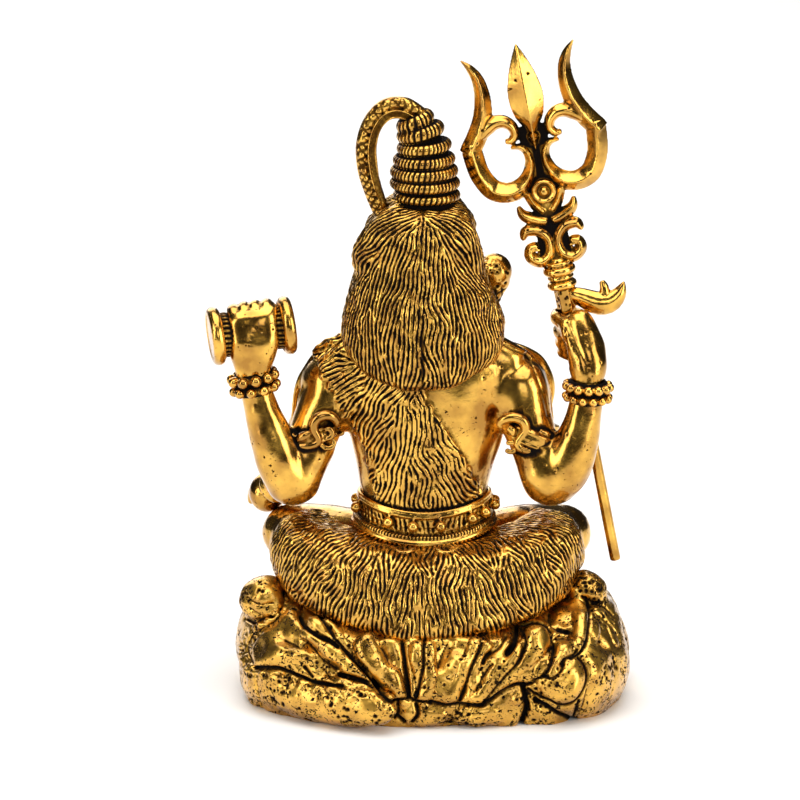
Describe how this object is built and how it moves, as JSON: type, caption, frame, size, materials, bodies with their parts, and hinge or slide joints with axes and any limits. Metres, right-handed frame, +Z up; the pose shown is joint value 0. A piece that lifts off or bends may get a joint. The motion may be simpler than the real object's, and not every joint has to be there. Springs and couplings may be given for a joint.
{
  "type": "shiva figure",
  "caption": "Seated four-armed deity figure in cast brass on a draped rock seat, holding a drum and a separate trident.",
  "frame": {"origin": "middle of the flat underside, below the figure's axis", "axes": "+Z up, -Y the way the figure faces, +X to the figure's left"},
  "size_m": [0.0818, 0.0578, 0.1282],
  "materials": {
    "antique_brass": "polished cast brass with black-brown patina in the recesses",
    "polished_brass": "polished cast brass with dark recesses"
  },
  "bodies": {
    "root": {"figure": "antique_brass", "trident": "polished_brass"}
  },
  "joints": []
}
